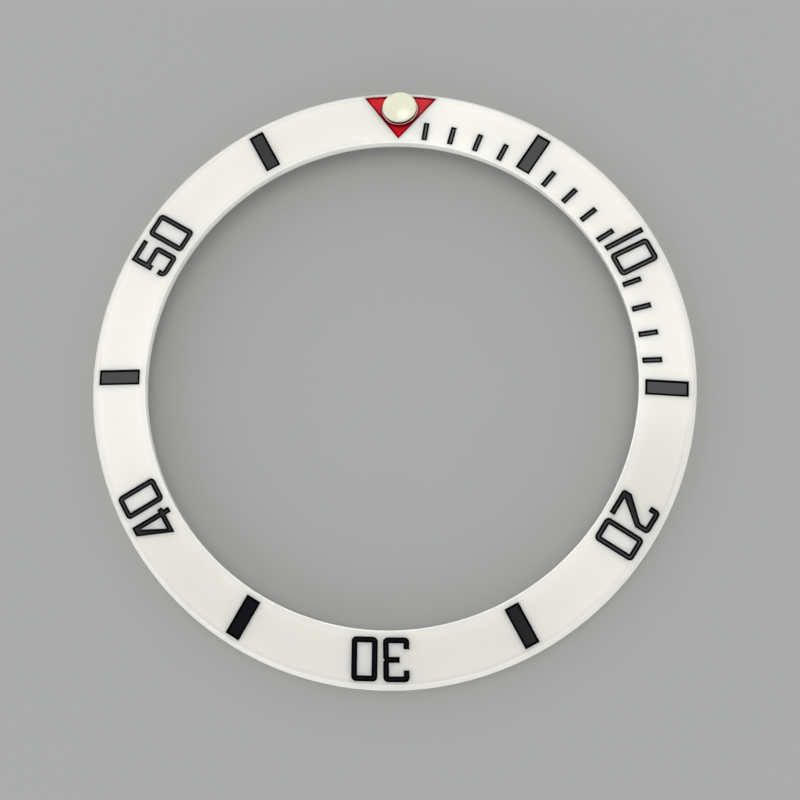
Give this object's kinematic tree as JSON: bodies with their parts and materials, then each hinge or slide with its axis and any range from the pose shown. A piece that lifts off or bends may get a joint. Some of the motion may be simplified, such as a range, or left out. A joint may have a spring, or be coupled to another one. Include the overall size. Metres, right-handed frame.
{
  "type": "watch bezel insert",
  "caption": "White ceramic dive watch bezel insert, sloped, with black engraved minute scale, red zero triangle and a luminous pearl.",
  "frame": {"origin": "on the ring's axis, in the plane of the flat seat on the underside", "axes": "+Z along the ring's axis, out of the engraved face; +Y towards the red triangle at zero minutes; +X towards the 15 minute bar"},
  "size_m": [0.038, 0.038, 0.0018],
  "materials": {
    "white_ceramic": "polished gloss",
    "black_enamel": "glossy paint filling, slightly dished",
    "red_enamel": "glossy paint filling, slightly dished",
    "pearl_steel": "polished",
    "lume": "matt luminous filling",
    "clear_lens": "clear, polished"
  },
  "bodies": {
    "root": {"insert_ring": "white_ceramic", "triangle_inlay": "red_enamel", "pearl_capsule": "pearl_steel", "pearl_lume": "lume", "pearl_lens": "clear_lens", "bar_05": "black_enamel", "bar_15": "black_enamel", "bar_25": "black_enamel", "bar_35": "black_enamel", "bar_45": "black_enamel", "bar_55": "black_enamel", "tick_01": "black_enamel", "tick_02": "black_enamel", "tick_03": "black_enamel", "tick_04": "black_enamel", "tick_06": "black_enamel", "tick_07": "black_enamel", "tick_08": "black_enamel", "tick_09": "black_enamel", "tick_11": "black_enamel", "tick_12": "black_enamel", "tick_13": "black_enamel", "tick_14": "black_enamel", "numeral_10_tens": "black_enamel", "numeral_10_zero": "black_enamel", "numeral_20_tens": "black_enamel", "numeral_20_zero": "black_enamel", "numeral_30_tens": "black_enamel", "numeral_30_zero": "black_enamel", "numeral_40_tens": "black_enamel", "numeral_40_zero": "black_enamel", "numeral_50_tens": "black_enamel", "numeral_50_zero": "black_enamel"}
  },
  "joints": []
}
